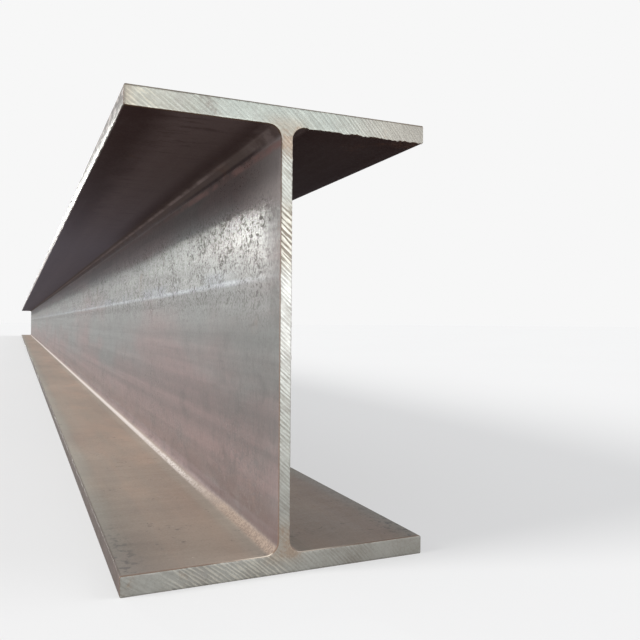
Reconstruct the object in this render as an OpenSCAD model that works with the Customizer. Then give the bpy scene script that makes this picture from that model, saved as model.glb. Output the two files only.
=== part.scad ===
// Hot-rolled steel H-beam, one straight stock length with square sawn ends.
// The beam lies along X on its bottom flange, with its web upright.
// The origin is in the middle of the underside, and the units are millimetres.

/* [Length] */
// Length of the beam between its sawn ends
length = 12000; // [1000:100:18000]

/* [Section] */
// Depth over both flanges
depth = 440; // [200:2:900]
// Width of each flange
flange_width = 300; // [100:2:450]
// Thickness of the web
web_thickness = 11; // [5:0.5:30]
// Thickness of each flange
flange_thickness = 18; // [8:0.5:40]

/* [Corners] */
// Radius of the root fillets, where the web runs into the flanges
root_radius = 13; // [8:1:30]
// Radius of the long outer corners at the tips of the flanges
toe_radius = 1.5; // [0.5:0.5:3]

/* [Hidden] */
steel_colour = [0.50, 0.47, 0.44];
root_facets = 64;
toe_facets = 32;
// the web starts and ends inside the flange plates, so that the two always fuse
web_foot = flange_thickness / 2;
root_centre_y = web_thickness / 2 + root_radius;
root_centre_z = flange_thickness + root_radius;
toe_centre_y = flange_width / 2 - toe_radius;

// one flange plate with its four long corners rounded, its underside on Z = 0
module flange_outline() {
    translate([-toe_centre_y, 0])
        square([2 * toe_centre_y, flange_thickness]);
    translate([-flange_width / 2, toe_radius])
        square([flange_width, flange_thickness - 2 * toe_radius]);
    for (y = [-toe_centre_y, toe_centre_y], z = [toe_radius, flange_thickness - toe_radius])
        translate([y, z])
            circle(r = toe_radius, $fn = toe_facets);
}

// the bottom flange with the two root fillets that the web stands between
module flange_with_roots() {
    flange_outline();
    difference() {
        translate([-root_centre_y, web_foot])
            square([2 * root_centre_y, root_centre_z - web_foot]);
        for (side = [-1, 1])
            translate([side * root_centre_y, root_centre_z])
                circle(r = root_radius, $fn = root_facets);
    }
}

// the whole section, standing on Z = 0 and the same above and below mid-depth
module section() {
    flange_with_roots();
    translate([0, depth])
        mirror([0, 1])
            flange_with_roots();
    translate([-web_thickness / 2, web_foot])
        square([web_thickness, depth - 2 * web_foot]);
}

// the section run along X, the same distance each way from the origin
module h_beam() {
    color(steel_colour)
        translate([-length / 2, 0, 0])
            rotate([90, 0, 90])
                linear_extrude(height = length)
                    section();
}

h_beam();
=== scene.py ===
import math
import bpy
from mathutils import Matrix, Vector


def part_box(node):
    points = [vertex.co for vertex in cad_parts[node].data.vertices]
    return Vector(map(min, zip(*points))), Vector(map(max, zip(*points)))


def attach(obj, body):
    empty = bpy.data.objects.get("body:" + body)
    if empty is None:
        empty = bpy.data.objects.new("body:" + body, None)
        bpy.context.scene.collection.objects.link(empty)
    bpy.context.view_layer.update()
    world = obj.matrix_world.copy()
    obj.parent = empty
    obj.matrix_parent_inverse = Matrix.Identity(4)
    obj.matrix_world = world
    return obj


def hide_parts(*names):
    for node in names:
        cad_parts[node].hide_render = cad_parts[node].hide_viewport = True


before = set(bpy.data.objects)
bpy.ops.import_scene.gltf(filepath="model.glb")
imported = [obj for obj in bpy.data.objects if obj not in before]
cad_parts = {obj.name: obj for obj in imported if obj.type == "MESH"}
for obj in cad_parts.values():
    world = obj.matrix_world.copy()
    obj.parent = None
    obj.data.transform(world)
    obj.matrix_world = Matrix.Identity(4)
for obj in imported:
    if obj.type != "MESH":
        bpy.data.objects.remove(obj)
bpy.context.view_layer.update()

from types import SimpleNamespace

import bpy
from mathutils import Vector, geometry, noise

beamLow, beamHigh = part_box("h_beam")
length = beamHigh.x - beamLow.x
depth = beamHigh.z - beamLow.z
flangeWidth = beamHigh.y - beamLow.y
halfWidth = flangeWidth / 2
halfLength = length / 2
mm = 0.001

# sizes that the mesh and the finishes share
section = {
    "webThickness": 11 * mm,
    "flangeThickness": 18 * mm,
    "rootRadius": 13 * mm,
    "toeRadius": 1.5 * mm,
    "rootSteps": 8,
    "toeSteps": 3,
    "flatStep": 20 * mm,       # how finely the flat faces are cut across
    "guideHeight": 280 * mm,   # the mark that the rolls leave along the web
    "guideRise": 0.32 * mm,
    "guideFoot": 14 * mm,      # how far it spreads below and above
    "guideTop": 6 * mm,
    "guideStep": 2 * mm,
    "looksDown": -0.4,         # two neighbouring normals' heights, added, under which a face gets the painted-shade underside finish
}

webHalf = section["webThickness"] / 2
flangeThickness = section["flangeThickness"]
rootCentreY = webHalf + section["rootRadius"]
rootCentreZ = flangeThickness + section["rootRadius"]
underTopFlange = depth - flangeThickness


# nodes

def setSocket(tree, socket, value):
    if isinstance(value, bpy.types.NodeSocket):
        tree.links.new(value, socket)
    else:
        socket.default_value = value


def addNode(tree, kind, inputs=None, **settings):
    node = tree.nodes.new(kind)
    for key, value in settings.items():
        setattr(node, key, value)
    for name, value in (inputs or {}).items():
        setSocket(tree, node.inputs[name], value)
    return node


def mathNode(tree, operation, a, b=0.0, c=0.0, clamp=False):
    inputs = {0: a, 1: b, 2: c}
    return addNode(tree, "ShaderNodeMath", inputs, operation=operation, use_clamp=clamp).outputs[0]


def times(tree, product, *factors):
    for factor in factors:
        product = mathNode(tree, "MULTIPLY", product, factor)
    return product


def scaleAdd(tree, value, factor, base):
    return mathNode(tree, "MULTIPLY_ADD", value, factor, base)


def distance(tree, value, centre):
    return mathNode(tree, "ABSOLUTE", mathNode(tree, "SUBTRACT", value, centre))


def remap(tree, value, low, high, toLow=0.0, toHigh=1.0):
    inputs = {"Value": value, "From Min": low, "From Max": high, "To Min": toLow, "To Max": toHigh}
    return addNode(tree, "ShaderNodeMapRange", inputs, interpolation_type="SMOOTHSTEP").outputs["Result"]


def mixValue(tree, factor, a, b):
    return addNode(tree, "ShaderNodeMix", {0: factor, 2: a, 3: b}, data_type="FLOAT").outputs[0]


def mixColour(tree, factor, a, b, blend="MIX"):
    node = addNode(tree, "ShaderNodeMix", data_type="RGBA", blend_type=blend)
    for index, value in ((0, factor), (6, a), (7, b)):
        setSocket(tree, node.inputs[index], value)
    return node.outputs[2]


def noiseAt(tree, vector, scale, detail=3.0, roughness=0.55, distortion=0.0):
    inputs = {"Vector": vector, "Scale": scale, "Detail": detail, "Roughness": roughness,
              "Distortion": distortion}
    return addNode(tree, "ShaderNodeTexNoise", inputs).outputs["Fac"]


def stretched(tree, vector, scale, shift=(0.0, 0.0, 0.0)):
    inputs = {"Vector": vector, "Scale": scale, "Location": shift}
    return addNode(tree, "ShaderNodeMapping", inputs).outputs["Vector"]


def newGroup(name, **inputs):
    # a vector has None for its value
    group = bpy.data.node_groups.new(name, "ShaderNodeTree")
    for socketName, value in inputs.items():
        kind = "Vector" if value is None else "Color" if isinstance(value, tuple) else "Float"
        socket = group.interface.new_socket(socketName, in_out="INPUT", socket_type="NodeSocket" + kind)
        if value is not None:
            socket.default_value = value
    return group, group.nodes.new("NodeGroupInput").outputs


def giveOut(group, **results):
    for name, result in results.items():
        kind = "NodeSocketColor" if result.type == "RGBA" else "NodeSocketFloat"
        group.interface.new_socket(name, in_out="OUTPUT", socket_type=kind)
    out = group.nodes.new("NodeGroupOutput").inputs
    for name, result in results.items():
        group.links.new(result, out[name])
    return group


def useGroup(tree, group, inputs):
    node = tree.nodes.new("ShaderNodeGroup")
    node.node_tree = group
    for name, value in inputs.items():
        setSocket(tree, node.inputs[name], value)
    return node.outputs


def newMaterial(name):
    material = bpy.data.materials.new(name)
    material.use_nodes = True
    return material, material.node_tree, material.node_tree.nodes["Principled BSDF"]


# effects that more than one finish uses

def makeSpeckle():
    group, given = newGroup(
        "scaleSpeckle", Position=None, Size=3 * mm, Cover=0.5, Clustering=0.3, Softness=0.045)
    frequency = mathNode(group, "DIVIDE", 1.0, given["Size"])
    turn = {"Vector": given["Position"], "Rotation": (0.6, 0.45, 0.9)}      # so that no row of grains shows
    turned = addNode(group, "ShaderNodeMapping", turn).outputs[0]
    grains = noiseAt(group, turned, frequency, 2.0, 0.55, 0.7)
    clumps = noiseAt(group, turned, times(group, frequency, 0.16), 2.0, 0.5)
    spread = scaleAdd(group, mathNode(group, "SUBTRACT", clumps, 0.5), given["Clustering"], grains)
    edge = scaleAdd(group, given["Cover"], -0.34, 0.64)
    low = mathNode(group, "SUBTRACT", edge, given["Softness"])
    high = mathNode(group, "ADD", edge, given["Softness"])
    return giveOut(group, Mask=remap(group, spread, low, high), Height=grains)


def makeStreaks():
    group, given = newGroup("rollStreaks", Position=None, Width=10 * mm, Stretch=30.0)
    frequency = mathNode(group, "DIVIDE", 1.0, given["Width"])
    along = mathNode(group, "DIVIDE", 1.0, given["Stretch"])
    scale = addNode(group, "ShaderNodeCombineXYZ", {0: along, 1: 1.0, 2: 1.0}).outputs[0]
    both = {0: given["Position"], 1: scale}
    squeezed = addNode(group, "ShaderNodeVectorMath", both, operation="MULTIPLY").outputs[0]
    lines = noiseAt(group, squeezed, frequency, 4.0, 0.6, 0.2)
    return giveOut(group, Mask=remap(group, lines, 0.36, 0.64))


def makeRust():
    group, given = newGroup(
        "rustBloom", Position=None, Size=80 * mm, Amount=0.3, Deep=(0.12, 0.055, 0.035, 1),
        Fresh=(0.27, 0.15, 0.095, 1))
    frequency = mathNode(group, "DIVIDE", 1.0, given["Size"])
    patches = noiseAt(group, given["Position"], frequency, 6.0, 0.68, 0.4)
    grit = noiseAt(group, given["Position"], 420.0, 2.0, 0.6)
    spread = scaleAdd(group, grit, 0.16, mathNode(group, "SUBTRACT", patches, 0.08))
    low = scaleAdd(group, given["Amount"], -0.45, 0.72)
    high = mathNode(group, "ADD", low, 0.16)
    colour = mixColour(group, remap(group, grit, 0.35, 0.65), given["Deep"], given["Fresh"])
    return giveOut(group, Mask=remap(group, spread, low, high), Colour=colour, Height=grit)


def makeDust():
    group, given = newGroup("yardDust", Position=None, Normal=None, Cover=0.7)
    facing = addNode(group, "ShaderNodeSeparateXYZ", {0: given["Normal"]}).outputs[2]
    upward = remap(group, facing, 0.35, 0.95)
    drift = noiseAt(group, stretched(group, given["Position"], (0.5, 1.0, 1.0)), 9.0, 5.0, 0.62)
    patchy = remap(group, drift, 0.25, 0.60, 0.80, 1.0)
    return giveOut(group, Mask=times(group, upward, patchy, given["Cover"]))


speckleGroup = makeSpeckle()
streakGroup = makeStreaks()
rustGroup = makeRust()
dustGroup = makeDust()
print("shared effects made")


# A finish is built up in at: where a point lies, the colour so far, and the masks that later steps use again.
# Its spans say where each effect starts and where it is full, then its least and most if they aren't 0 and 1.
# Its noises give scale, detail, roughness and distortion, then how x, y and z are stretched, then a shift.
# Its grains give size, cover, clustering and softness.

def startFinish(name, look, spans, noises, grains):
    material, tree, shader = newMaterial(name)
    place = tree.nodes.new("ShaderNodeTexCoord").outputs
    x, y, z = addNode(tree, "ShaderNodeSeparateXYZ", {0: place["Object"]}).outputs
    return SimpleNamespace(
        material=material, tree=tree, shader=shader, look=look, spans=spans, noises=noises, grains=grains,
        position=place["Object"], normal=place["Normal"], x=x, y=y, z=z, across=mathNode(tree, "ABSOLUTE", y))


def ramp(at, name, value=None):
    # the span's group says what it is taken over, unless a value is given
    group = next(key for key in at.spans if name in at.spans[key])
    if value is None:
        value = noiseOf(at, name) if group == "noise" else getattr(at, group)
    return remap(at.tree, value, *at.spans[group][name])


def masked(at, *masks):
    # the masks multiplied, each a socket, a number, a span's name, or a value with a span's name
    product = None
    for mask in masks:
        if isinstance(mask, str):
            mask = ramp(at, mask)
        elif isinstance(mask, tuple):
            mask = ramp(at, mask[1], mask[0])
        product = mask if product is None else times(at.tree, product, mask)
    return product


def paint(at, over, *masks):
    # lays a colour over the rest, as much as all the masks let it show
    over = at.look[over] if isinstance(over, str) else over
    at.colour = mixColour(at.tree, masked(at, *masks), at.colour, over)


def noiseOf(at, name):
    scale, detail, roughness, distortion, *mapping = at.noises[name]
    vector = stretched(at.tree, at.position, *mapping) if mapping else at.position
    return noiseAt(at.tree, vector, scale, detail, roughness, distortion)


def grainsOf(at, name, position=None):
    size, cover, clustering, softness = at.grains[name]
    inputs = {"Position": position or at.position, "Size": size, "Cover": cover, "Clustering": clustering,
              "Softness": softness}
    return useGroup(at.tree, speckleGroup, inputs)


def streaksOf(at, width, stretch):
    inputs = {"Position": at.position, "Width": width, "Stretch": stretch}
    return useGroup(at.tree, streakGroup, inputs)["Mask"]


def finishWith(at, rough, relief, bumps):
    # bumps: how strong, and how high in metres
    bump = addNode(at.tree, "ShaderNodeBump", {"Strength": bumps[0], "Distance": bumps[1], "Height": relief})
    at.tree.links.new(at.colour, at.shader.inputs["Base Color"])
    at.tree.links.new(rough, at.shader.inputs["Roughness"])
    at.tree.links.new(bump.outputs["Normal"], at.shader.inputs["Normal"])
    return at.material


# rolled surfaces

scaleLook = {
    "bluePatch": (0.184, 0.187, 0.180, 1),     # clean blue-grey scale
    "brownPatch": (0.229, 0.156, 0.150, 1),    # thin pinkish-brown scale
    "darkPatch": (0.070, 0.062, 0.058, 1),
    # painted shade for the faces that look down
    "shadedUnderScale": (0.118, 0.080, 0.075, 1),
    "dustColour": (0.415, 0.318, 0.248, 1),
    "greyDust": (0.335, 0.304, 0.252, 1),
    "warmDust": (0.475, 0.345, 0.262, 1),
    # worn steel on the tips, and the painted highlight along the bottom roots
    "wornSteelAndHighlight": (0.600, 0.545, 0.510, 1),
    "rootTan": (0.205, 0.152, 0.120, 1),
    "rootSparkle": (0.425, 0.328, 0.255, 1),
    "rootRed": (0.120, 0.078, 0.070, 1),
    # the guide mark, lighter partly as a painted highlight of its ridge
    "guideMarkAndHighlight": (0.330, 0.350, 0.385, 1),
    "cutTint": (0.150, 0.085, 0.050, 1),
    "toeRust": (0.068, 0.045, 0.034, 1),
    "tipGrime": (0.085, 0.070, 0.060, 1),
    # a paler patch painted into the flange's shade close to the cut
    "paintedLightNearCut": (0.360, 0.312, 0.296, 1),
    "temperBlue": (0.150, 0.170, 0.215, 1),
    "greenShade": (0.045, 0.058, 0.052, 1),
    "brightLip": (0.700, 0.620, 0.520, 1),
    # painted highlight along the web's top edge
    "pinkHighlight": (0.370, 0.220, 0.198, 1),
    # pale dust near the cut, and a painted highlight line along the top roots
    "paleLine": (0.300, 0.235, 0.225, 1),
    # dark for painted shade in the top roots and under the flanges, and for cross marks and dark bands
    "darkShadeAndMarks": (0.040, 0.017, 0.015, 1),
    "rootBrown": (0.135, 0.098, 0.086, 1),
    # a lighter blue-grey laid over that painted shade further from the cut
    "shadedUnderBlue": (0.225, 0.205, 0.250, 1),
    "roughness": 0.30,
    "ior": 1.75,
    "openGloss": 0.50,
    "shadedUnderGloss": 0.10,
    "dustCover": 0.92,
    "rustSize": 120 * mm,
    "bumps": (0.30, 0.6 * mm),
    "paleHighlightFacing": -0.90,       # which way a root faces where a line runs along it, 1 is up
    "topCreaseShadeFacing": -0.26,
    "rootDarkBandFacing": 0.22,
}

scaleGrains = {
    "speckle": (3.6 * mm, 0.20, 0.30, 0.09),
    "pits": (5.4 * mm, 0.05, 0.50, 0.05),
    "frost": (2.6 * mm, 0.50, 0.30, 0.16),
    "crumbs": (6.5 * mm, -0.25, 0.55, 0.045),
    "paleFlecks": (4.5 * mm, -0.55, 0.30, 0.045),
    "sparkle": (2.5 * mm, 0.40, 0.30, 0.10),
    "mottle": (5.5 * mm, 0.36, 0.70, 0.045),
}

grainStretch = (0.6, 1.0, 1.0)
tipStretch = (0.16, 1.0, 1.0)

scaleNoises = {
    "broad": (6.25, 5.0, 0.60, 0.3, (0.22, 1.0, 1.0)),
    "clouds": (26.0, 4.0, 0.62, 0.5, (0.6, 1.0, 1.0)),
    "hatch": (170.0, 3.0, 0.60, 0.9, (1.0, 1.0, 0.3)),
    "guideWander": (2.0, 2.0, 0.55, 0.0, (1.0, 0.0, 0.0)),
    "guideWear": (9.0, 3.0, 0.55, 0.0, (1.0, 0.2, 0.2)),
    "temper": (7.0, 3.0, 0.55, 0.0, (0.6, 1.0, 1.0), (2.0, 0.0, 0.0)),
    "gritty": (8.0, 3.0, 0.55, 0.0, (0.5, 1.0, 1.0), (3.0, 0.0, 1.0)),
    "crossMarks": (95.0, 4.0, 0.65, 0.4, (1.0, 0.26, 1.0)),
    "broken": (26.0, 4.0, 0.65, 0.0, (1.0, 2.0, 2.0)),
    "greyDust": (14.0, 4.0, 0.60, 0.0, (0.4, 1.0, 1.0)),
    "warmDust": (11.0, 4.0, 0.60, 0.4, (0.45, 1.0, 1.0), (1.0, 0.0, 0.0)),
    "swept": (75.0, 4.0, 0.60, 0.5, (1.0, 0.18, 1.0)),
    "drifts": (3.2, 4.0, 0.60, 0.0, (0.35, 1.0, 1.0)),
    "fineDust": (330.0, 2.0, 0.60, 0.0),
    "cornerSpots": (110.0, 3.0, 0.60, 0.0),
    "chips": (260.0, 3.0, 0.70, 0.0, grainStretch),
    "redBand": (34.0, 4.0, 0.60, 0.0, (0.25, 1.0, 1.0)),
    "tipGrime": (70.0, 4.0, 0.70, 0.0, tipStretch),
    "blotch": (120.0, 3.0, 0.70, 0.0, (0.35, 1.0, 1.0)),
    "toeBreaks": (40.0, 3.0, 0.55, 0.0),
    "scorch": (160.0, 3.0, 0.55, 0.0),
}

scaleSpans = {
    "z": {     # height above the floor
        "lowWeb": (0.25, 0.09), "highWeb": (0.345, 0.395), "temperFoot": (0.278, 0.286),
        "temperTop": (0.303, 0.291), "shadeTop": (0.275, 0.225), "shadeFoot": (0.070, 0.150),
        "paintedLightHeight": (0.33, 0.37), "grittyHeight": (0.215, 0.275),
        "grittyTop": (0.390, 0.350, 0.15, 1.0), "topRootHeight": (0.402, 0.410), "belowWeb": (0.2, 0.1),
        "lowRoot": (0.040, 0.032), "redBandHeight": (0.080, 0.030), "topTip": (0.3, 0.4),
        "wornTip": (depth * 0.4, depth * 0.6, 0.22, 1.0), "toeHeight": (0.16, 0.10),
        "smoothHeight": (0.308, 0.335),
    },
    "across": {     # distance from the middle of the web
        "webFace": (webHalf + 3 * mm, webHalf + 1 * mm), "topRootWidth": (0.026, 0.018),
        "shadeBesideRoot": (0.050, 0.022), "laneReach": (0.03, 0.10, 0.08, 0.40), "warmWidth": (0.122, 0.095),
        "greyBesideRoot": (0.040, 0.020, 0.0, 0.55), "duller": (0.080, 0.130, 0.80, 0.68),
        "cornerWidth": (0.118, 0.140), "atRoot": (0.030, 0.024),
        "atTip": (halfWidth - 1.2 * mm, halfWidth - 0.3 * mm),
        "wetToe": (halfWidth - 2.8 * mm, halfWidth - 0.8 * mm),
    },
    "y": {     # place across, left above 0
        "rightSideShade": (0.0, -0.02, 0.0, 0.85),
    },
    "fromCut": {     # distance from the nearer cut
        "guideReach": (0.04, 0.22, 0.25, 1.0), "temperReach": (0.10, 0.25),
        "shadeBelowGuideReach": (0.04, 0.35, 0.10, 0.42), "shadeReach": (0.35, 0.06, 0.0, 0.20),
        "paintedLightReach": (0.16, 0.01, 0.0, 0.85), "grittyReach": (0.012, 0.060, 0.25, 1.0),
        "farBlue": (0.05, 1.3, 0.0, 0.78), "bloomReach": (0.13, 0.03),
        "shadeBesideReach": (1.2, 0.6, 0.0, 0.60), "paleHighlightReach": (0.12, 0.26),
        "topCreaseShadeReach": (0.55, 0.26, 0.10, 0.95), "topCreaseShadeEnd": (0.03, 0.10),
        "webEdgeHighlightReach": (0.60, 0.25, 0.2, 1.0), "warmReach": (0.02, 0.40, 0.15, 1.0),
        "sweptReach": (0.20, 0.80, 0.42, 0.20), "trodden": (0.75, 0.05),
        "scuffed": (0.14, 0.02, 1.0, 0.84), "cornerReach": (0.20, 0.04), "nearRoot": (0.34, 0.14),
        "dusty": (0.48, 0.14), "chipStart": (0.10, 0.25), "chipEnd": (0.95, 0.45),
        "rootDarkBandReach": (0.55, 0.20), "rustAmount": (0.30, 0.0, 0.20, 0.28),
        "tipReach": (1.0, 0.35, 0.35, 1.0), "blotchShift": (0.9, 0.15, 0.0, 0.012),
        "blotchReach": (1.6, 0.6, 0.45, 0.95), "lipReach": (3.4 * mm, 1.8 * mm),
        "smoothStart": (0.030, 0.080), "smoothFade": (0.32, 0.14, 0.35, 1.0), "rougherCut": (0.060, 0.0),
        "dullRoot": (0.50, 0.16, 0.42, 0.48),
    },
    "up": {     # how far the face looks up
        "sheltered": (-0.08, -0.55), "facingDown": (-0.90, -0.99), "rootHighlightFacing": (0.05, 0.35),
        "redFacing": (0.45, 0.1), "lipFacing": (0.75, 0.95),
    },
    "noise": {     # how much of a noise shows
        "hatch": (0.44, 0.66, 0.0, 0.34), "guideWear": (0.35, 0.65, 0.45, 0.95),
        "temper": (0.42, 0.60, 0.0, 0.50), "gritty": (0.46, 0.66, 0.08, 0.70), "crossMarks": (0.48, 0.70),
        "warmDust": (0.46, 0.66, 0.0, 0.75), "drifts": (0.3, 0.7, 0.84, 1.10),
        "cornerSpots": (0.53, 0.61, 0.0, 0.85), "chips": (0.42, 0.52, 0.20, 1.0), "redBand": (0.35, 0.6),
        "toeBreaks": (0.3, 0.6, 0.70, 0.97),
    },
    "given": {     # of a value worked out in the step itself
        "tipGrime": (underTopFlange + 6 * mm, underTopFlange + 13 * mm, 0.10, 0.92),
        "besideTip": (0.105, 0.145), "greyEdge": (halfWidth - 14 * mm, halfWidth + 14 * mm),
        "lipWidth": (0.135, 0.075), "scorch": (1.8 * mm, 0.0, 0.0, 0.8), "guideWidth": (5.8 * mm, 0.0),
        "underMark": (8.5 * mm, 2.0 * mm), "webLine": (6.5 * mm, 1.5 * mm), "paleLine": (0.12, 0.03),
        "darkLine": (0.30, 0.08), "seam": (0.28, 0.08, 0.0, 0.35), "rubbed": (1.0, 0.30),
        "brownness": (0.46, 0.76), "clouds": (0.50, 0.72, 0.0, 0.42),
        "crossPatch": (0.40, 0.60, 0.15, 0.60), "brownBreaks": (0.35, 0.65, 0.60, 0.95),
        "bloom": (0.40, 0.62, 0.05, 0.60), "paleBreaks": (0.35, 0.60, 0.30, 0.90),
        "pinkBreaks": (0.38, 0.62, 0.20, 1.0), "blotch": (0.47, 0.54),
    },
}


def layPatches(at):
    # blue-grey and brown scale in patches, drawn out along the rolling direction
    tree = at.tree
    at.broad = noiseOf(at, "broad")
    brownWeb = mathNode(tree, "MAXIMUM", ramp(at, "lowWeb"), ramp(at, "highWeb"))
    brownness = ramp(at, "brownness", scaleAdd(tree, brownWeb, 0.22, at.broad))
    at.colour = mixColour(tree, brownness, at.look["bluePatch"], at.look["brownPatch"])
    at.streaks = streaksOf(at, 14 * mm, 40.0)
    bands = streaksOf(at, 30 * mm, 160.0)
    at.clouds = noiseOf(at, "clouds")
    paint(at, "darkPatch", scaleAdd(tree, bands, 0.34, times(tree, at.streaks, 0.20)))
    paint(at, "darkPatch", (at.clouds, "clouds"))
    paint(at, "darkPatch", "hatch")


def markWeb(at):
    # the guide mark along the web, lighter in its own colour and as a painted highlight of its ridge, with
    # its blue band above and painted shade below where the web tilts down; then a darker green-grey shade,
    # and a paler patch painted into the flange's shade, close to the cut
    tree, z = at.tree, at.z
    height = scaleAdd(tree, noiseOf(at, "guideWander"), 4 * mm, section["guideHeight"] - 1 * mm)
    belowGuide = mathNode(tree, "SUBTRACT", height, 17 * mm)
    at.onWeb = ramp(at, "webFace")
    paint(at, "guideMarkAndHighlight", (distance(tree, z, height), "guideWidth"), at.onWeb, "guideWear", "guideReach")
    paint(at, "temperBlue", "temperFoot", "temperTop", "temper", "temperReach", at.onWeb)
    # painted shade below the guide mark, where the web tilts down
    paint(at, "darkPatch", (distance(tree, z, belowGuide), "underMark"), at.onWeb, "shadeBelowGuideReach")
    paint(at, "greenShade", "shadeTop", "shadeFoot", "shadeReach")
    paint(at, "paintedLightNearCut", "paintedLightReach", "paintedLightHeight")


def addGrains(at):
    # dark grains where the scale is thick
    tree = at.tree
    at.drawn = stretched(tree, at.position, grainStretch)
    at.speckle = grainsOf(at, "speckle")
    pits = grainsOf(at, "pits", at.drawn)["Mask"]
    at.frost = grainsOf(at, "frost")["Mask"]
    at.sheltered = ramp(at, "sheltered")
    both = mathNode(tree, "MAXIMUM", times(tree, at.speckle["Mask"], 0.8), pits)
    gritty = mathNode(tree, "MAXIMUM", ramp(at, "gritty"), ramp(at, "grittyHeight"))
    inTheOpen = scaleAdd(tree, at.sheltered, -0.8, 1.0)
    at.specks = masked(at, both, inTheOpen, gritty, "grittyReach", "grittyTop")
    paint(at, "darkPatch", scaleAdd(tree, at.specks, 0.60, times(tree, at.frost, 0.10)))


def paintUnderShade(at):
    # painted shade under the flanges: faces that look down get a darker, duller colour, deeper on the right,
    # with a darker band beside the tips, cross marks, and a lighter blue-grey further from the cut
    sheltered = at.sheltered
    besideTip = scaleAdd(at.tree, at.clouds, 0.03, at.across)
    paint(at, "shadedUnderScale", sheltered)
    # deeper painted shade under the right side
    paint(at, "darkShadeAndMarks", sheltered, "rightSideShade")
    paint(at, "darkShadeAndMarks", (besideTip, "besideTip"), sheltered, 0.95)
    paint(at, "darkShadeAndMarks", "crossMarks", sheltered, (at.broad, "crossPatch"))
    paint(at, "shadedUnderBlue", "farBlue", sheltered)


def drawTopRoots(at):
    # the roots under the top flange: brown, with pale dust near the cut, a painted pale highlight line far
    # along, painted shade in the crease towards the cut and on the flange beside the root, and a painted pink
    # highlight along the web's top edge
    topRoot = masked(at, "topRootWidth", "topRootHeight")
    broken = noiseOf(at, "broken")
    offPaleHighlight = distance(at.tree, at.up, at.look["paleHighlightFacing"])
    offTopCreaseShade = distance(at.tree, at.up, at.look["topCreaseShadeFacing"])
    offWebEdgeHighlight = distance(at.tree, at.z, depth - rootCentreZ - 2.5 * mm)
    paint(at, "rootBrown", topRoot, (broken, "brownBreaks"), at.sheltered)
    paint(at, "paleLine", (broken, "bloom"), "bloomReach", topRoot)
    paint(at, "darkShadeAndMarks", "shadeBesideRoot", "facingDown", "shadeBesideReach")
    paint(at, "paleLine", (offPaleHighlight, "paleLine"), topRoot, "paleHighlightReach", (broken, "paleBreaks"))
    paint(at, "darkShadeAndMarks", (offTopCreaseShade, "darkLine"), topRoot, "topCreaseShadeReach", "topCreaseShadeEnd")
    paint(at, "pinkHighlight", (offWebEdgeHighlight, "webLine"), at.onWeb, (broken, "pinkBreaks"), "webEdgeHighlightReach")


def layDust(at):
    # dust on what faces up, greyer towards the tips and trodden close to the cut
    tree, bare = at.tree, at.colour
    settled = {"Position": at.position, "Normal": at.normal, "Cover": at.look["dustCover"]}
    at.dust = useGroup(tree, dustGroup, settled)["Mask"]
    at.greyNoise = noiseOf(at, "greyDust")
    at.colour = at.look["dustColour"]
    paint(at, "greyDust", (scaleAdd(tree, at.greyNoise, 0.035, at.across), "greyEdge"))
    paint(at, "greyDust", streaksOf(at, 35 * mm, 45.0), "laneReach")
    paint(at, "warmDust", "warmDust", "warmWidth", "warmReach")
    paint(at, "greyDust", "greyBesideRoot")
    swept = mathNode(tree, "SUBTRACT", noiseOf(at, "swept"), 0.5)
    tone = scaleAdd(tree, noiseOf(at, "fineDust"), 0.30, 0.85)
    tone = scaleAdd(tree, swept, ramp(at, "sweptReach"), tone)
    trodden = mixValue(tree, ramp(at, "trodden"), 1.0, ramp(at, "duller"))
    tone = masked(at, tone, "drifts", trodden, "scuffed")
    tone = addNode(tree, "ShaderNodeCombineXYZ", {0: tone, 1: tone, 2: tone}).outputs[0]
    at.colour = mixColour(tree, at.dust, bare, mixColour(tree, 1.0, at.colour, tone, "MULTIPLY"))

    shifted = stretched(tree, at.position, (1.0, 1.0, 1.0), (0.4, 0.2, 0.0))
    paint(at, "darkPatch", grainsOf(at, "crumbs")["Mask"], at.dust, 0.6)
    paint(at, "brightLip", grainsOf(at, "paleFlecks", shifted)["Mask"], at.dust, 0.7)
    paint(at, "darkPatch", "cornerWidth", "cornerReach", "cornerSpots", at.dust)


def paintRootHighlight(at):
    # a painted highlight along the bottom roots, pale steel far along and dusty tan with painted glints close
    # to the cut, then a darker band where the root meets the web
    tree = at.tree
    at.atRoot = ramp(at, "atRoot")
    at.dusty = ramp(at, "dusty")
    nearRoot = ramp(at, "nearRoot")
    offRootHighlight = distance(tree, at.across, scaleAdd(tree, nearRoot, -2.1 * mm, 13.0 * mm))
    offRootHighlight = mathNode(tree, "DIVIDE", offRootHighlight, scaleAdd(tree, nearRoot, 1.8 * mm, 4.6 * mm))
    highlightBreaks = masked(at, "chipStart", "chipEnd")
    highlightBreaks = mixValue(tree, highlightBreaks, 1.0, ramp(at, "chips"))
    sparkle = times(tree, grainsOf(at, "sparkle")["Mask"], 0.52)
    tan = mixColour(tree, sparkle, at.look["rootTan"], at.look["rootSparkle"])
    at.rubbed = masked(at, (offRootHighlight, "rubbed"), "rootHighlightFacing", "belowWeb", highlightBreaks)
    paint(at, mixColour(tree, at.dusty, at.look["wornSteelAndHighlight"], tan), at.rubbed)
    offRootDarkBand = distance(tree, at.up, at.look["rootDarkBandFacing"])
    paint(at, "darkShadeAndMarks", (offRootDarkBand, "seam"), at.atRoot, "rootDarkBandReach", "lowRoot")


def addRust(at):
    # a reddish band over the bottom roots, and rust in patches
    redness = scaleAdd(at.tree, at.dusty, 0.55, 0.30)
    paint(at, "rootRed", "redBandHeight", "redFacing", redness, "redBand")
    amount = ramp(at, "rustAmount")
    patches = {"Position": at.position, "Size": at.look["rustSize"], "Amount": amount}
    at.rust = useGroup(at.tree, rustGroup, patches)
    paint(at, at.rust["Colour"], at.rust["Mask"], 0.45)


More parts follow.
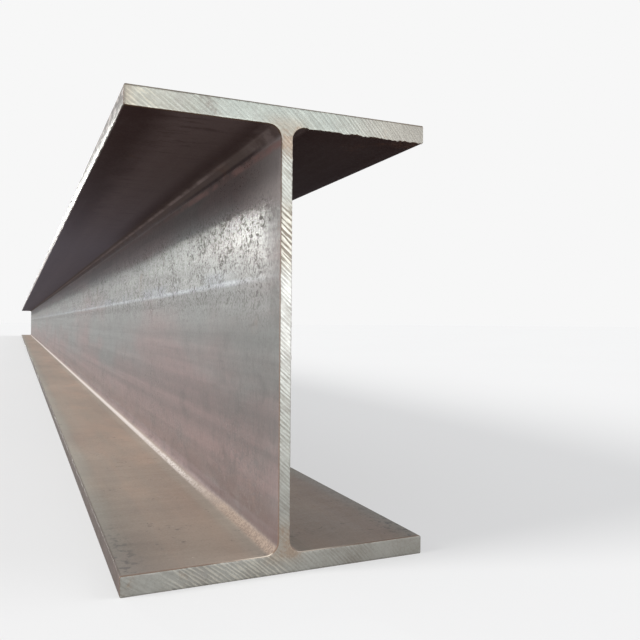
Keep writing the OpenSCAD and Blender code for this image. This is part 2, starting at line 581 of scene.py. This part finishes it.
def wearTips(at):
    # flange tips worn to mottled bright steel, and the bottom toes, which have stood wet
    tree = at.tree
    atTip = ramp(at, "atTip")
    topTip = masked(at, atTip, "topTip")
    mottle = grainsOf(at, "mottle", stretched(tree, at.position, tipStretch))["Mask"]
    grimeHeight = scaleAdd(tree, noiseOf(at, "tipGrime"), 12 * mm, at.z)
    grime = masked(at, (grimeHeight, "tipGrime"), "tipReach", topTip)
    blotch = mathNode(tree, "ADD", noiseOf(at, "blotch"), ramp(at, "blotchShift"))
    paint(at, "tipGrime", grime)
    paint(at, "wornSteelAndHighlight", atTip, mottle, 0.85, "wornTip", scaleAdd(tree, grime, -0.35, 1.0))
    paint(at, "tipGrime", (blotch, "blotch"), topTip, "blotchReach")
    paint(at, "toeRust", "wetToe", "toeHeight", "toeBreaks")


def markCut(at):
    # a thin scorched line round the cut, and the bright lip on top of the flange
    tree = at.tree
    ragged = scaleAdd(tree, noiseOf(at, "scorch"), 3 * mm, 0.4 * mm)
    lip = scaleAdd(tree, at.greyNoise, 0.10, at.across)
    paint(at, "cutTint", (mathNode(tree, "SUBTRACT", at.fromCut, ragged), "scorch"))
    paint(at, "brightLip", "lipReach", "lipFacing", (lip, "lipWidth"))


def rolledRoughness(at):
    tree = at.tree
    smoothBand = masked(at, "smoothHeight", "smoothStart", "smoothFade", at.onWeb)
    rough = at.look["roughness"]
    shares = ((at.specks, 0.42), (at.frost, 0.12), (smoothBand, -0.055), (at.streaks, 0.05),
              (ramp(at, "rougherCut"), 0.16), (at.sheltered, 0.40), (at.dust, 0.28), (at.rust["Mask"], 0.25))
    for mask, share in shares:
        rough = scaleAdd(tree, mask, share, rough)
    dulled = times(tree, at.rubbed, scaleAdd(tree, at.dusty, 0.30, 0.14))
    dullRoot = masked(at, at.atRoot, "lowRoot", "dullRoot")
    return mathNode(tree, "ADD", rough, mathNode(tree, "MAXIMUM", dulled, dullRoot), clamp=True)


def rolledRelief(at):
    tree = at.tree
    relief = scaleAdd(tree, at.rust["Height"], 0.25, times(tree, at.speckle["Height"], 0.65))
    relief = scaleAdd(tree, at.specks, -0.30, relief)
    return times(tree, relief, scaleAdd(tree, at.sheltered, -0.92, 1.0))


def rolledScale(name, gloss):
    at = startFinish(name, scaleLook, scaleSpans, scaleNoises, scaleGrains)
    at.up = addNode(at.tree, "ShaderNodeSeparateXYZ", {0: at.normal}).outputs[2]
    at.fromCut = mathNode(at.tree, "SUBTRACT", halfLength, mathNode(at.tree, "ABSOLUTE", at.x))
    steps = (layPatches, markWeb, addGrains, paintUnderShade, drawTopRoots, layDust, paintRootHighlight, addRust,
             wearTips, markCut)
    for step in steps:
        step(at)
    at.shader.inputs["IOR"].default_value = at.look["ior"]
    at.shader.inputs["Specular IOR Level"].default_value = gloss
    return finishWith(at, rolledRoughness(at), rolledRelief(at), at.look["bumps"])


# sawn ends

sawnLook = {
    "bright": (0.63, 0.65, 0.61, 1),
    # darker steel for smudges and smears, and towards the foot partly painted shade
    "dull": (0.33, 0.31, 0.28, 1),
    "tan": (0.42, 0.29, 0.19, 1),
    "groove": (0.15, 0.115, 0.080, 1),
    "smear": (0.46, 0.43, 0.41, 1),
    "faceLeft": (1.05, 1.04, 1.00, 1),
    "faceMiddle": (0.79, 0.82, 0.81, 1),
    "faceRight": (0.86, 0.82, 0.79, 1),
    # cream painted highlights on the cut
    "creamHighlight": (0.98, 0.91, 0.76, 1),
    # painted highlight up the middle of the web
    "midWebHighlight": (0.87, 0.88, 0.85, 1),
    "metallic": 0.85,
    "roughness": 0.36,
    "fineStrokes": (4.2 * mm, 0.5),       # pitch up the cut, and sharpness
    "coarseStrokes": (5.6 * mm, 0.7),
    "hardestBite": 317 * mm,              # height on the web
    "rustSize": 22 * mm,
    "bumps": (0.55, 0.4 * mm),
}

sawnGrains = {
    "spots": (2.2 * mm, 0.30, 0.30, 0.12),
    "grit": (1.5 * mm, 0.50, 0.30, 0.045),
}

sawnNoises = {
    "zone": (9.0, 2.0, 0.55, 0.0),
    "clouds": (22.0, 4.0, 0.60, 0.0),
    "strokeGate": (40.0, 2.0, 0.55, 0.0),
    "smudgeBreaks": (190.0, 3.0, 0.55, 0.0),
    "smears": (34.0, 5.0, 0.70, 0.6, (1.0, 0.8, 1.4)),
}

sawnSpans = {
    "z": {     # height above the floor
        "low": (0.17, 0.0), "midWebHighlightFoot": (0.14, 0.24, 0.0, 0.9), "midWebHighlightTop": (0.36, 0.30),
        "webStrokes": (0.06, 0.20, 0.32, 0.50), "highEnds": (0.30, 0.40), "topPlate": (0.41, 0.42),
        "footHeight": (0.024, 0.014), "topFace": (0.405, 0.420), "smudgeHeight": (0.421, 0.425),
        "warmHeight": (0.40, 0.43), "smearHeight": (0.40, 0.42), "lowPlate": (0.030, 0.018),
    },
    "across": {     # distance from the middle of the web
        "onWeb": (0.012, 0.006), "rootWidth": (0.03, 0.006), "corner": (0.115, 0.148, 0.0, 0.20),
    },
    "y": {     # place across, left above 0
        "footLeft": (0.125, 0.085), "footRight": (-0.02, 0.01),
        "strokesRight": (-0.060, -0.110, 0.0, 0.26), "strokesLeft": (0.115, 0.135, 0.0, 0.14),
        "brightEnd": (0.110, 0.135), "faceLeft": (0.13, 0.05), "faceRight": (-0.04, -0.12),
        "smearRight": (-0.07, -0.15, 0.0, 0.42), "lowRight": (-0.02, -0.09, 0.0, 0.14),
    },
    "noise": {     # how much of a noise shows
        "strokeGate": (0.35, 0.60, 0.45, 1.0), "smudgeBreaks": (0.42, 0.60, 0.1, 0.7),
        "smears": (0.50, 0.72, 0.0, 0.34),
    },
    "given": {     # of a value worked out in the step itself
        "topEdge": (depth - 0.8 * mm, depth + 0.2 * mm, 0.0, 0.75),
        "warmCorner": (0.145, 0.160, 0.0, 0.30), "hardestBite": (0.040, 0.018, 0.0, 0.78),
        "clearOfFlanges": (0.200, 0.185), "calmFace": (0.090, 0.050), "smudge": (0.010, 0.003),
        "rootInner": (0.160, 0.185), "rootOuter": (0.215, 0.202), "bite": (0.42, 0.66, 0.0, 0.16),
        "dullClouds": (0.35, 0.7), "strokeDepth": (0.47, 0.60, 0.0, 0.20),
        "brightStrokes": (0.72, 1.0, 0.0, 0.34), "coarseDark": (0.75, 0.05),
    },
}

sawSweep = {"radius": 1.16, "centreY": 0.78}     # the blade swings about a far-off centre


def makeStrokes():
    group, given = newGroup("sawStrokes", Position=None, Pitch=3 * mm, Sharpness=0.5)
    x, y, z = addNode(group, "ShaderNodeSeparateXYZ", {0: given["Position"]}).outputs
    reach = mathNode(group, "SUBTRACT", sawSweep["centreY"], y)
    fall = mathNode(group, "SUBTRACT", sawSweep["radius"] ** 2, times(group, reach, reach))
    sweep = mathNode(group, "SUBTRACT", z, mathNode(group, "SQRT", fall))
    lane = mathNode(group, "DIVIDE", sweep, given["Pitch"])
    lanes = {0: lane, 1: times(group, y, 40.0), 2: mathNode(group, "SIGN", x)}
    at = addNode(group, "ShaderNodeCombineXYZ", lanes).outputs[0]
    lines = noiseAt(group, at, 1.6, 2.0, 0.65)
    wander = noiseAt(group, stretched(group, at, (0.25, 0.3, 1.0)), 1.0, 2.0)
    beat = mathNode(group, "SINE", times(group, scaleAdd(group, wander, 1.8, lane), math.tau))
    both = scaleAdd(group, beat, 0.14, lines)
    half = scaleAdd(group, given["Sharpness"], -0.2, 0.24)
    low = mathNode(group, "SUBTRACT", 0.5, half)
    high = mathNode(group, "ADD", 0.5, half)
    return giveOut(group, Mask=remap(group, both, low, high))


strokeGroup = makeStrokes()


def strokesOf(at, kind):
    pitch, sharpness = at.look[kind + "Strokes"]
    inputs = {"Position": at.position, "Pitch": pitch, "Sharpness": sharpness}
    return useGroup(at.tree, strokeGroup, inputs)["Mask"]


def layBareSteel(at):
    # bright at the top and darker towards the foot, partly dust and rust and partly painted shade, with a
    # painted highlight up the middle of the web
    tree = at.tree
    at.clouds = noiseOf(at, "clouds")
    at.low = ramp(at, "low")
    at.onWeb = ramp(at, "onWeb")
    dullness = scaleAdd(tree, ramp(at, "dullClouds", at.clouds), 0.22, times(tree, at.low, 0.6))
    at.colour = mixColour(tree, dullness, at.look["bright"], at.look["dull"])
    paint(at, "midWebHighlight", at.onWeb, "midWebHighlightFoot", "midWebHighlightTop")


def cutStrokes(at):
    # the blade bit harder in some places
    tree, y, z = at.tree, at.y, at.z
    at.fine = strokesOf(at, "fine")
    at.coarse = strokesOf(at, "coarse")
    zone = noiseOf(at, "zone")
    highBite = masked(at, (distance(tree, z, at.look["hardestBite"]), "hardestBite"), at.onWeb)
    at.bite = mathNode(tree, "MAXIMUM", ramp(at, "bite", zone), highBite)
    offMiddle = distance(tree, z, depth / 2)
    webStrokes = masked(at, at.onWeb, "webStrokes", (offMiddle, "clearOfFlanges"), "strokeGate")
    endStrokes = mathNode(tree, "ADD", ramp(at, "strokesRight"), ramp(at, "strokesLeft"))
    endStrokes = masked(at, endStrokes, "highEnds")
    footStrokes = masked(at, "footHeight", "footLeft", "footRight")
    calmFace = masked(at, "topPlate", (distance(tree, y, 5 * mm), "calmFace"))
    deep = masked(at, (zone, "strokeDepth"), scaleAdd(tree, calmFace, -0.85, 1.0))
    deep = scaleAdd(tree, footStrokes, 0.12, deep)
    at.deep = mathNode(tree, "MAXIMUM", deep, mathNode(tree, "MAXIMUM", webStrokes, endStrokes))
    brightEnds = masked(at, "brightEnd", "topPlate")
    brightStrokes = mathNode(tree, "MAXIMUM", times(tree, footStrokes, 0.75), brightEnds)
    paint(at, "groove", mathNode(tree, "SUBTRACT", 1.0, at.fine), at.deep)
    # painted highlights: cream on the ridges of the strokes at the ends and the foot, and over the hardest
    # bite on the web
    paint(at, "creamHighlight", brightStrokes, (at.fine, "brightStrokes"))
    paint(at, "creamHighlight", highBite, 0.5)
    paint(at, "groove", (at.coarse, "coarseDark"), at.bite)


def toneTopFace(at):
    # the top flange's face gets duller from left to right, with one slanted smudge
    tree, y, z = at.tree, at.y, at.z
    tone = mixColour(tree, ramp(at, "faceLeft"), at.look["faceLeft"], at.look["faceMiddle"])
    tone = mixColour(tree, ramp(at, "faceRight"), tone, at.look["faceRight"])
    smudge = distance(tree, y, scaleAdd(tree, z, 0.6, -0.184))
    paint(at, mixColour(tree, 1.0, at.colour, tone, "MULTIPLY"), "topFace")
    paint(at, "dull", (smudge, "smudge"), "smudgeHeight", "smudgeBreaks")
    paint(at, "tan", (scaleAdd(tree, at.clouds, 0.02, y), "warmCorner"), "warmHeight")


def smearFluid(at):
    # cutting fluid that dried on the face
    paint(at, "smear", "smears")
    paint(at, "groove", grainsOf(at, "spots")["Mask"], 0.14)
    paint(at, "dull", "smearRight", "smearHeight")
    paint(at, "groove", "lowRight", "lowPlate")


def rustCut(at):
    # first rust, mostly where the web meets the flanges and at the corners
    tree = at.tree
    offMiddle = distance(tree, at.z, depth / 2)
    warmth = masked(at, (offMiddle, "rootInner"), (offMiddle, "rootOuter"), "rootWidth")
    amount = mathNode(tree, "ADD", scaleAdd(tree, warmth, 0.40, 0.20), ramp(at, "corner"))
    patches = {"Position": at.position, "Size": at.look["rustSize"], "Amount": amount, "Deep": at.look["tan"]}
    rust = useGroup(tree, rustGroup, patches)
    paint(at, rust["Colour"], rust["Mask"], 0.45)
    paint(at, "tan", warmth, 0.28)
    paint(at, "groove", (scaleAdd(tree, at.clouds, 1.5 * mm, at.z), "topEdge"))


def sawnSteel():
    at = startFinish("sawnSteel", sawnLook, sawnSpans, sawnNoises, sawnGrains)
    for step in (layBareSteel, cutStrokes, toneTopFace, smearFluid, rustCut):
        step(at)
    tree = at.tree
    rough = scaleAdd(tree, at.low, 0.12, scaleAdd(tree, at.clouds, 0.18, at.look["roughness"]))
    fine = times(tree, at.fine, mathNode(tree, "ADD", at.deep, 0.04))
    relief = scaleAdd(tree, at.coarse, scaleAdd(tree, at.bite, 0.8, 0.06), fine)
    relief = scaleAdd(tree, grainsOf(at, "grit")["Height"], 0.25, relief)
    at.shader.inputs["Metallic"].default_value = at.look["metallic"]
    return finishWith(at, rough, relief, at.look["bumps"])


# the beam's mesh

def addObject(name, data):
    thing = bpy.data.objects.new(name, data)
    bpy.context.scene.collection.objects.link(thing)
    return thing


def straight(start, end, step):
    count = max(1, round((Vector(end) - Vector(start)).length / step))
    return [Vector(start).lerp(Vector(end), i / count) for i in range(count)]


def arc(centre, radius, fromAngle, toAngle, steps):
    angles = [math.radians(fromAngle + (toAngle - fromAngle) * i / steps) for i in range(steps)]
    return [Vector((centre[0] + radius * math.cos(a), centre[1] + radius * math.sin(a))) for a in angles]


def leftOutline():
    # from the middle of the underside round the left side to the middle of the top, as (y, z)
    step, root, toe = section["flatStep"], section["rootSteps"], section["toeSteps"]
    r, c, t, half = section["rootRadius"], section["toeRadius"], flangeThickness, halfWidth
    guideFoot = section["guideHeight"] - section["guideFoot"]
    guideTop = section["guideHeight"] + section["guideTop"]
    points = straight((0, 0), (half - c, 0), step)
    points += arc((half - c, c), c, -90, 0, toe)
    points += straight((half, c), (half, t - c), step)
    points += arc((half - c, t - c), c, 0, 90, toe)
    points += straight((half - c, t), (rootCentreY, t), step)
    points += arc((rootCentreY, rootCentreZ), r, 270, 180, root)
    points += straight((webHalf, rootCentreZ), (webHalf, guideFoot), step)
    points += straight((webHalf, guideFoot), (webHalf, guideTop), section["guideStep"])
    points += straight((webHalf, guideTop), (webHalf, depth - rootCentreZ), step)
    points += arc((rootCentreY, depth - rootCentreZ), r, 180, 90, root)
    points += straight((rootCentreY, depth - t), (half - c, depth - t), step)
    points += arc((half - c, depth - t + c), c, -90, 0, toe)
    points += straight((half, depth - t + c), (half, depth - c), step)
    points += arc((half - c, depth - c), c, 0, 90, toe)
    points += straight((half - c, depth), (0, depth), step)
    return points


def outline():
    left = leftOutline()
    right = [Vector((-p.x, p.y)) for p in left[1:]]
    return left + [Vector((0, depth))] + right[::-1]


ends = {
    "denseStep": 1.5 * mm,         # outline step at the cut
    "bevel": 0.2 * mm,             # worn-off corner round the cut
    "rings": [0.0, 0.25 * mm, 1.2 * mm, 3.0 * mm],
    "firstGap": 4 * mm,            # to the next ring, and how the gaps grow from there
    "ringGrowth": 1.35,
    "widestRing": 60 * mm,
    "rowPitch": 0.95 * mm,         # points on the cut face, between rows and along them
    "alongPitch": 4 * mm,
    "rimGap": 0.8 * mm,
    "kerfDepth": 0.16 * mm,
    "coarseKerf": 8 * mm,
    "fineKerf": 3.6 * mm,
    "seeds": {-1: 11.0, 1: 47.0},  # one for each end
    "sharpAngle": 38,
}


waviness = (
    # waves a metre along and across, shift, height
    (1.3, 7, 0, 0.18 * mm),
    (6, 15, 30, 0.04 * mm),
)

# the ragged lip that the blade leaves where it breaks out
burrs = {
    "reach": 3 * mm,               # how far along the beam it fades out
    "height": 1.7 * mm,            # under the top flange, on the right
    "deepest": 0.3 * mm,
    "ragged": ((90, 3, 0.9), (330, 8, 0.6)),     # waves a metre, shift, share
    "webHeight": 0.9 * mm,
    "lipHeight": 0.6 * mm,         # on the bottom flange, left of the web
    "lipWidth": 0.1,
    "restHeight": 0.15 * mm,
    "restWaves": 160,
}


def noiseAtPoint(x, y, z):
    return noise.noise(Vector((x, y, z)))


def insideSection(y, z, margin):
    across, up = abs(y), min(z, depth - z)
    if up < margin:
        return False
    if up <= flangeThickness - margin and across <= halfWidth - margin:
        return True
    if across <= webHalf - margin:
        return True
    if across < rootCentreY and up < rootCentreZ:
        return math.hypot(across - rootCentreY, up - rootCentreZ) >= section["rootRadius"] + margin
    return False


def sweepOf(y, z):
    # how far down the cut the blade was when its edge passed this point
    reach = sawSweep["centreY"] - y
    return z - math.sqrt(sawSweep["radius"] ** 2 - reach ** 2)


def kerf(y, z, seed):
    sweep = sweepOf(y, z)
    zone = noiseAtPoint(y * 14, z * 14, seed) + 0.6
    coarse = noiseAtPoint(sweep / ends["coarseKerf"], y * 6, seed + 5)
    fine = noiseAtPoint(sweep / ends["fineKerf"], y * 9, seed + 9)
    return ends["kerfDepth"] * (coarse * max(zone, 0.2) + 0.45 * fine * max(0.9 - zone, 0.2))


def smoothFall(value, reach):
    share = min(max(1 - value / reach, 0), 1)
    return share * share * (3 - 2 * share)


def surfaceShift(x, y, z):
    # slow waviness that rolling and cooling leave, and the guide mark, in metres outward
    wave = 0.0
    for along, across, shift, height in waviness:
        wave += noiseAtPoint(x * along, y * across, z * across + shift) * height
    if y > 0 and abs(y - webHalf) < 0.1 * mm:
        gap = section["guideHeight"] - z
        rise = 1 - gap / section["guideFoot"] if gap > 0 else 1 + gap / section["guideTop"]
        wave += section["guideRise"] * max(0, rise) * (0.8 + 0.4 * noiseAtPoint(x * 3, 0, 7))
    return wave


def outlineNormals(points):
    normals = []
    for i, point in enumerate(points):
        before, after = points[i - 1], points[(i + 1) % len(points)]
        along = (point - before).normalized() + (after - point).normalized()
        normals.append(Vector((along.y, -along.x)).normalized())
    return normals


def finishAt(normals, i):
    looksDown = normals[i].y + normals[(i + 1) % len(normals)].y < section["looksDown"]
    return "sheltered" if looksDown else "rolled"


def burr(y, z, seed):
    near = 0.2 * mm
    if abs(z - underTopFlange) < near and y < -rootCentreY:
        ragged = sum(noiseAtPoint(y * waves, seed, shift) * share for waves, shift, share in burrs["ragged"])
        return max(-burrs["deepest"], (0.30 + ragged) * burrs["height"])
    height = burrs["restHeight"]
    if abs(y + webHalf) < near:
        height = burrs["webHeight"]
    elif abs(z - flangeThickness) < near and 0 < y < burrs["lipWidth"]:
        height = burrs["lipHeight"]
    return height * max(0, noiseAtPoint(y * burrs["restWaves"], z * burrs["restWaves"], seed))


def densify(points, step):
    dense, firsts = [], []
    for i, point in enumerate(points):
        after = points[(i + 1) % len(points)]
        firsts.append(len(dense))
        count = max(1, math.ceil((after - point).length / step))
        dense += [point.lerp(after, j / count) for j in range(count)]
    return dense, firsts


def ringPlaces():
    # distances from the cut, close together near it and up to widestRing apart in the middle
    places, gap = list(ends["rings"]), ends["firstGap"]
    while places[-1] + gap < halfLength:
        places.append(places[-1] + gap)
        gap = min(gap * ends["ringGrowth"], ends["widestRing"])
    return places


def capPoints():
    radius, centreY = sawSweep["radius"], sawSweep["centreY"]
    lowAngle = math.acos((centreY + halfWidth) / radius)
    highAngle = math.acos((centreY - halfWidth) / radius)
    along = ends["alongPitch"] / radius
    count = int((highAngle - lowAngle) / along)
    points = []
    for row in range(math.ceil((depth + radius) / ends["rowPitch"])):
        sweep = -radius + row * ends["rowPitch"]
        for i in range(count):
            angle = lowAngle + (i + 0.5 * (row % 2)) * along
            y = centreY - radius * math.cos(angle)
            z = sweep + radius * math.sin(angle)
            if insideSection(y, z, ends["rimGap"]):
                points.append(Vector((y, z)))
    return points


finishes = ("rolled", "sawn", "sheltered")     # in the order of the mesh's materials

textureMap = {
    "edge": 0.004,             # gap round the map and between its parts
    "sidesWidth": 0.80,        # the rolled faces, one half of the beam above the other
    "cutLeft": 0.83,           # then the two cut faces, one above the other
    "cutWidth": 0.16,
    "cutHeight": 0.47,
    "fineReach": 0.8,          # metres from each cut that get more room than the rest
    "fineShare": 2.0,
    "plainShare": 0.85,
}


def distancesRound(points):
    total, distances = 0.0, []
    for i, point in enumerate(points):
        distances.append(total)
        total += (points[(i + 1) % len(points)] - point).length
    return distances, total


def roomAlong(fromCut):
    fine = min(fromCut, textureMap["fineReach"])
    return fine * textureMap["fineShare"] + (fromCut - fine) * textureMap["plainShare"]


def layOutMap(mesh, distances, girth):
    # distances holds how far round the section each point lies
    edge = textureMap["edge"]
    longest = roomAlong(halfLength + ends["widestRing"])
    layer = mesh.uv_layers.new(name="OFBake")
    for face in mesh.polygons:
        loops = list(face.loop_indices)
        corners = [mesh.vertices[mesh.loops[i].vertex_index] for i in loops]
        side = 1 if max(corner.co.x for corner in corners) > 0 else -1
        base = edge if side < 0 else 0.5 + edge
        if face.material_index == finishes.index("sawn"):
            for i, corner in zip(loops, corners):
                across = (corner.co.y + halfWidth) / flangeWidth * textureMap["cutWidth"]
                up = corner.co.z / depth * textureMap["cutHeight"]
                layer.uv[i].vector = (textureMap["cutLeft"] + across, base + edge + up)
            continue
        rounds = [distances[corner.index] for corner in corners]
        if max(rounds) - min(rounds) > girth / 2:
            rounds = [r + girth if r < girth / 2 else r for r in rounds]
        for i, corner, r in zip(loops, corners, rounds):
            along = roomAlong(halfLength - side * corner.co.x) / longest * textureMap["sidesWidth"]
            layer.uv[i].vector = (edge + along, base + r / girth * (0.5 - 2 * edge))


class BeamMesh:
    # points, faces and the finish of each face, gathered ring by ring from the cuts inward

    def __init__(self):
        self.sparse = outline()
        self.dense, self.firsts = densify(self.sparse, ends["denseStep"])
        self.sparseRounds, self.girth = distancesRound(self.sparse)
        self.denseRounds = distancesRound(self.dense)[0]
        self.sparseNormals, self.denseNormals = outlineNormals(self.sparse), outlineNormals(self.dense)
        self.verts, self.faces, self.kinds, self.rounds = [], [], [], []

    def addFace(self, corners, kind, flip):
        self.faces.append(corners[::-1] if flip else corners)
        self.kinds.append(finishes.index(kind))

    def addRing(self, x, lifts=None):
        # a ring with lifts is a dense one
        points, normals = (self.dense, self.denseNormals) if lifts else (self.sparse, self.sparseNormals)
        self.rounds += self.denseRounds if lifts else self.sparseRounds
        first = len(self.verts)
        for point, normal, lift in zip(points, normals, lifts or [0.0] * len(points)):
            shift = surfaceShift(x, point.x, point.y) + lift
            self.verts.append((x, point.x + normal.x * shift, point.y + normal.y * shift))
        return list(range(first, len(self.verts)))

    def bridge(self, a, b, flip):
        normals = self.denseNormals if len(a) == len(self.dense) else self.sparseNormals
        for i in range(len(a)):
            j = (i + 1) % len(a)
            self.addFace((a[i], a[j], b[j], b[i]), finishAt(normals, i), flip)

    def fan(self, denseRing, sparseRing, flip):
        # joins a dense ring to a sparse one
        for i, a in enumerate(sparseRing):
            b = sparseRing[(i + 1) % len(sparseRing)]
            last = self.firsts[i + 1] if i + 1 < len(self.firsts) else len(denseRing)
            run = [denseRing[k % len(denseRing)] for k in range(self.firsts[i], last + 1)]
            middle = (len(run) - 1) // 2
            triangles = [(run[k], run[k + 1], a if k < middle else b) for k in range(len(run) - 1)]
            for triangle in triangles + [(run[middle], b, a)]:
                self.addFace(triangle, finishAt(self.sparseNormals, i), flip)

    def addHalf(self, side):
        # from one cut to the last ring before the middle; gives the rim at the cut and that last ring
        flip, seed = side > 0, ends["seeds"][side]
        places = ringPlaces()
        rings = []
        for index, place in enumerate(places):
            lifts = None
            if index < len(ends["rings"]):
                fade = smoothFall(place, burrs["reach"])
                worn = ends["bevel"] if index == 0 else 0.0
                lifts = [burr(p.x, p.y, seed) * fade - worn for p in self.dense]
            rings.append(self.addRing(side * (halfLength - place), lifts))
            if index == len(ends["rings"]):
                self.fan(rings[-2], rings[-1], flip)
            elif index > 0:
                self.bridge(rings[-2], rings[-1], flip)
        return rings[0], rings[-1]

    def closeCut(self, rim, inside, side):
        # the cut face, its points in rows along the saw's strokes
        rimPoints = [Vector(self.verts[v][1:]) for v in rim]
        edges = [(i, (i + 1) % len(rim)) for i in range(len(rim))]
        result = geometry.delaunay_2d_cdt(rimPoints + inside, edges, [], 1, 1e-7)
        capVerts, capFaces, origins = result[0], result[2], result[3]
        numbers = []
        for point, origin in zip(capVerts, origins):
            if origin and origin[0] < len(rim):
                numbers.append(rim[origin[0]])
                continue
            numbers.append(len(self.verts))
            self.verts.append((side * halfLength, point.x, point.y))
            self.rounds.append(0.0)
        for number in set(numbers):
            y, z = self.verts[number][1:]
            bite = kerf(y, z, ends["seeds"][side]) - ends["kerfDepth"]
            self.verts[number] = (side * (halfLength + bite), y, z)
        for triangle in capFaces:
            self.addFace([numbers[i] for i in triangle], "sawn", side < 0)


def buildBeam():
    build = BeamMesh()
    inside = capPoints()
    lastRings = []
    for side in (-1, 1):
        rim, last = build.addHalf(side)
        build.closeCut(rim, inside, side)
        lastRings.append(last)
    build.bridge(lastRings[0], lastRings[1], False)

    mesh = bpy.data.meshes.new("rolledBeam")
    mesh.from_pydata(build.verts, [], build.faces)
    mesh.materials.append(rolledScale("rolledScale", scaleLook["openGloss"]))
    mesh.materials.append(sawnSteel())
    mesh.materials.append(rolledScale("shadedUnderScale", scaleLook["shadedUnderGloss"]))
    mesh.polygons.foreach_set("material_index", build.kinds)
    mesh.validate()
    mesh.update()
    layOutMap(mesh, build.rounds, build.girth)
    mesh.shade_smooth()
    mesh.set_sharp_from_angle(angle=math.radians(ends["sharpAngle"]))
    triangles = sum(len(face) - 2 for face in build.faces)
    print("beam built:", len(build.verts), "points,", triangles, "triangles")
    return addObject("rolledBeam", mesh)


beam = buildBeam()
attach(beam, "root")
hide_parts("h_beam")


# floor, lights and camera

stage = {
    "floorSize": 400.0,
    "floorColour": (0.40, 0.40, 0.40, 1),      # what it throws back on the beam
    "floorRoughness": 0.95,
    "floorWaves": 0.7,
    "floorTone": (0.3, 0.7, 0.985, 1.0),
    "floorGlow": 0.42,                         # a lit table under the beam, so its shadow stays pale
    "skyShown": (0.93, 0.93, 0.93, 1),
    "skyLight": (0.55, 0.56, 0.58, 1),
}


def makeFloor():
    size = stage["floorSize"] / 2
    corners = [(-size, -size, 0), (size, -size, 0), (size, size, 0), (-size, size, 0)]
    mesh = bpy.data.meshes.new("studioFloor")
    mesh.from_pydata(corners, [], [(0, 1, 2, 3)])
    material, tree, shader = newMaterial("studioFloor")
    black, white = (0.0, 0.0, 0.0, 1), (1.0, 1.0, 1.0, 1)
    position = tree.nodes.new("ShaderNodeTexCoord").outputs["Object"]
    tone = remap(tree, noiseAt(tree, position, stage["floorWaves"]), *stage["floorTone"])
    tree.links.new(mixColour(tree, tone, black, stage["floorColour"]), shader.inputs["Base Color"])
    seen = tree.nodes.new("ShaderNodeLightPath").outputs["Is Camera Ray"]
    glow = mixColour(tree, seen, black, white)
    tree.links.new(glow, shader.inputs["Emission Color"])
    shader.inputs["Emission Strength"].default_value = stage["floorGlow"]
    shader.inputs["Roughness"].default_value = stage["floorRoughness"]
    shader.inputs["Specular IOR Level"].default_value = 0.0
    mesh.materials.append(material)
    floor = addObject("studioFloor", mesh)


def makeSky():
    world = bpy.data.worlds.new("studioSky")
    bpy.context.scene.world = world
    world.use_nodes = True
    tree = world.node_tree
    background = tree.nodes["Background"]
    seen = tree.nodes.new("ShaderNodeLightPath").outputs["Is Camera Ray"]
    tree.links.new(mixColour(tree, seen, stage["skyLight"], stage["skyShown"]), background.inputs["Color"])


lamps = {
    # degrees left of the beam's length, degrees up, softness in degrees, strength, colour
    "sideKey": (84, 27.0, 26, 3.5, (1.0, 0.99, 0.97)),
    "farWindow": (17.5, 9.0, 3.0, 0.345, (0.975, 1.0, 0.945)),
    "endLamp": (-165, 3.5, 14, 0.68, (1.0, 1.0, 0.98)),
    "rightFill": (-105, 26, 40, 1.15, (1.0, 1.0, 1.0)),
}


def makeLamps():
    for name, (heading, height, softness, strength, colour) in lamps.items():
        light = bpy.data.lights.new(name, "SUN")
        light.energy = strength
        light.angle = math.radians(softness)
        light.color = colour
        lamp = addObject(name, light)
        turn, rise = math.radians(heading), math.radians(height)
        towards = Vector((math.cos(turn) * math.cos(rise), math.sin(turn) * math.cos(rise), math.sin(rise)))
        lamp.rotation_euler = towards.to_track_quat("Z", "Y").to_euler()
        lamp.location = towards * 20      # clear of the beam; a sun lamp's distance changes nothing


view = {
    "beforeCut": 0.6032,       # metres in front of the near end
    "leftOfWeb": 0.2322,
    "eyeHeight": 0.2349,
    "heading": -23.897,        # degrees from the beam's length, to the right
    "pitch": 0.341,
    "roll": -0.413,
    "lens": 38.54,
    "sensor": 36.0,
    "nearest": 0.01,
    "farthest": 500.0,
}


def makeCamera():
    data = bpy.data.cameras.new("yardCamera")
    data.lens = view["lens"]
    data.sensor_width = view["sensor"]
    data.clip_start = view["nearest"]
    data.clip_end = view["farthest"]
    camera = addObject("yardCamera", data)
    camera.location = (beamLow.x - view["beforeCut"], view["leftOfWeb"], view["eyeHeight"])
    turns = (90 + view["pitch"], view["roll"], view["heading"] - 90)
    camera.rotation_euler = [math.radians(turn) for turn in turns]
    bpy.context.scene.camera = camera


makeFloor()
makeSky()
makeLamps()
makeCamera()
bpy.context.scene.view_settings.view_transform = "Standard"
print("studio set up")
